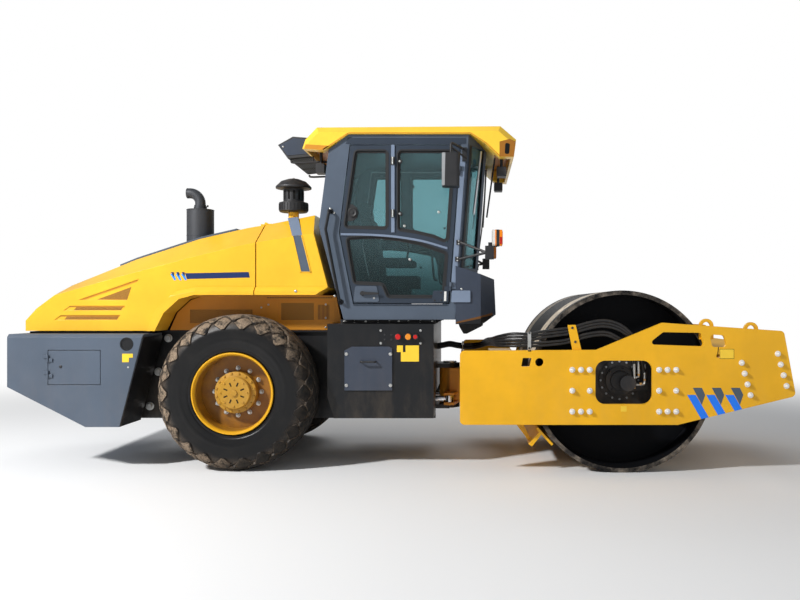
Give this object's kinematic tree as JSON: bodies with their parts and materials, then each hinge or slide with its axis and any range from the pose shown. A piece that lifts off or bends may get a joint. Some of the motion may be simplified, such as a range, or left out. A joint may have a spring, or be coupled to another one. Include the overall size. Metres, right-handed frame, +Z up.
{
  "type": "articulated single-drum road roller",
  "caption": "Articulated soil compactor: smooth steel drum in a plate frame, rear tractor on two tyres, glazed cab, tilting hood and a rear weight.",
  "frame": {"origin": "on the ground, under the middle of the overall length and width", "axes": "+X forwards to the drum, +Y to the machine's left, +Z up"},
  "size_m": [6.9237, 2.3, 3.112],
  "materials": {
    "yellow_paint": "gloss",
    "plate_paint": "gloss",
    "grey_paint": "satin",
    "black_paint": "satin",
    "drum_steel": "satin",
    "dark_casting": "painted",
    "orange_casting": "painted",
    "steel": "machined",
    "rod_chrome": "polished",
    "tyre_rubber": "moulded",
    "rubber": "moulded",
    "rim_paint": "gloss",
    "black_plastic": "moulded",
    "roof_plastic": "moulded",
    "glass": "tinted",
    "seat_cover": "woven"
  },
  "bodies": {
    "root": {"steering_pin": "steel", "rear_frame": "black_paint", "frame_hoses": "rubber", "side_tanks": "black_paint", "tank_cover": "grey_paint", "tank_fittings": "black_plastic", "steps": "black_paint", "rear_weight": "grey_paint", "rear_axle": "dark_casting", "cowl": "yellow_paint", "engine_panels": "plate_paint", "deck": "black_paint", "engine": "dark_casting", "air_intake": "black_plastic", "cab_mounts": "rubber", "cab_frame": "grey_paint", "cab_nose": "grey_paint", "cab_roof": "roof_plastic", "windscreen": "glass", "rear_window": "glass", "seat": "seat_cover", "steering_console": "black_plastic", "mirrors": "black_plastic", "signal_lamps": "black_plastic", "roof_lamps": "black_plastic", "air_conditioner": "grey_paint", "grab_handles": "black_paint"},
    "front_frame": {"side_plate_right": "plate_paint", "side_plate_left": "plate_paint", "rear_crossbeam": "plate_paint", "front_crossbeam": "plate_paint", "lifting_eyes": "plate_paint", "scraper": "plate_paint", "drum_carriers": "dark_casting", "drum_buffers": "rubber", "drum_brackets": "dark_casting", "front_hoses": "rubber"},
    "drum": {"drum_shell": "drum_steel", "drum_discs": "drum_steel", "drum_hubs": "dark_casting"},
    "centre": {"centre_joint": "orange_casting", "joint_hoses": "rubber"},
    "hood": {"hood": "yellow_paint", "exhaust": "steel"},
    "wheel_right": {"tyre_right": "tyre_rubber", "rim_right": "rim_paint", "wheel_hub_right": "rim_paint"},
    "door_right": {"cab_door_right": "grey_paint", "door_glass_right": "glass"},
    "cylinder_right": {"steering_cylinder_right": "black_paint"},
    "rod_right": {"steering_rod_right": "rod_chrome"},
    "hatch_right": {"box_door_right": "grey_paint"},
    "wheel_left": {"tyre_left": "tyre_rubber", "rim_left": "rim_paint", "wheel_hub_left": "rim_paint"},
    "door_left": {"cab_door_left": "grey_paint", "door_glass_left": "glass"},
    "cylinder_left": {"steering_cylinder_left": "black_paint"},
    "rod_left": {"steering_rod_left": "rod_chrome"},
    "hatch_left": {"box_door_left": "grey_paint"}
  },
  "joints": [
    {"name": "steer", "type": "hinge", "parent": "root", "child": "centre", "pos_m": [0.43, 0, 0.67], "axis": [0, 0, 1], "range_deg": [-33, 33]},
    {"name": "oscillate", "type": "hinge", "parent": "centre", "child": "front_frame", "pos_m": [0.43, 0, 0.67], "axis": [-1, 0, 0], "range_deg": [-10, 10]},
    {"name": "drum_spin", "type": "hinge", "parent": "front_frame", "child": "drum", "pos_m": [1.973, 0, 0.8], "axis": [0, 1, 0], "continuous": true},
    {"name": "hood_lift", "type": "hinge", "parent": "root", "child": "hood", "pos_m": [-1.322, 0, 2.252], "axis": [0, 1, 0], "range_deg": [0, 50]},
    {"name": "wheel_spin_right", "type": "hinge", "parent": "root", "child": "wheel_right", "pos_m": [-1.445, -0.83, 0.695], "axis": [0, 1, 0], "continuous": true},
    {"name": "door_swing_right", "type": "hinge", "parent": "root", "child": "door_right", "pos_m": [0.438, -0.794, 1.338], "axis": [0.0733, 0, 0.9973], "range_deg": [0, 50]},
    {"name": "cylinder_yaw_right", "type": "hinge", "parent": "root", "child": "cylinder_right", "pos_m": [-0.47, -0.25, 0.556], "axis": [0, 0, 1], "range_deg": [-4, 4]},
    {"name": "rod_slide_right", "type": "slide", "parent": "cylinder_right", "child": "rod_right", "axis": [1, 0, 0], "range_m": [-0.145, 0.145]},
    {"name": "hatch_swing_right", "type": "hinge", "parent": "root", "child": "hatch_right", "pos_m": [-3.1, -1.01, 0.918], "axis": [0, 0, -1], "range_deg": [0, 100]},
    {"name": "wheel_spin_left", "type": "hinge", "parent": "root", "child": "wheel_left", "pos_m": [-1.445, 0.83, 0.695], "axis": [0, 1, 0], "continuous": true},
    {"name": "door_swing_left", "type": "hinge", "parent": "root", "child": "door_left", "pos_m": [0.438, 0.794, 1.338], "axis": [-0.0733, 0, -0.9973], "range_deg": [0, 50]},
    {"name": "cylinder_yaw_left", "type": "hinge", "parent": "root", "child": "cylinder_left", "pos_m": [-0.47, 0.25, 0.556], "axis": [0, 0, 1], "range_deg": [-4, 4]},
    {"name": "rod_slide_left", "type": "slide", "parent": "cylinder_left", "child": "rod_left", "axis": [1, 0, 0], "range_m": [-0.145, 0.145]},
    {"name": "hatch_swing_left", "type": "hinge", "parent": "root", "child": "hatch_left", "pos_m": [-3.1, 1.01, 0.918], "axis": [0, 0, 1], "range_deg": [0, 100]}
  ],
  "couplings": [
    {"joint": "rod_slide_right", "follows": "steer", "m_per_rad": 0.2364},
    {"joint": "cylinder_yaw_right", "follows": "steer", "ratio": -0.012},
    {"joint": "rod_slide_left", "follows": "steer", "m_per_rad": -0.2364},
    {"joint": "cylinder_yaw_left", "follows": "steer", "ratio": -0.012}
  ]
}
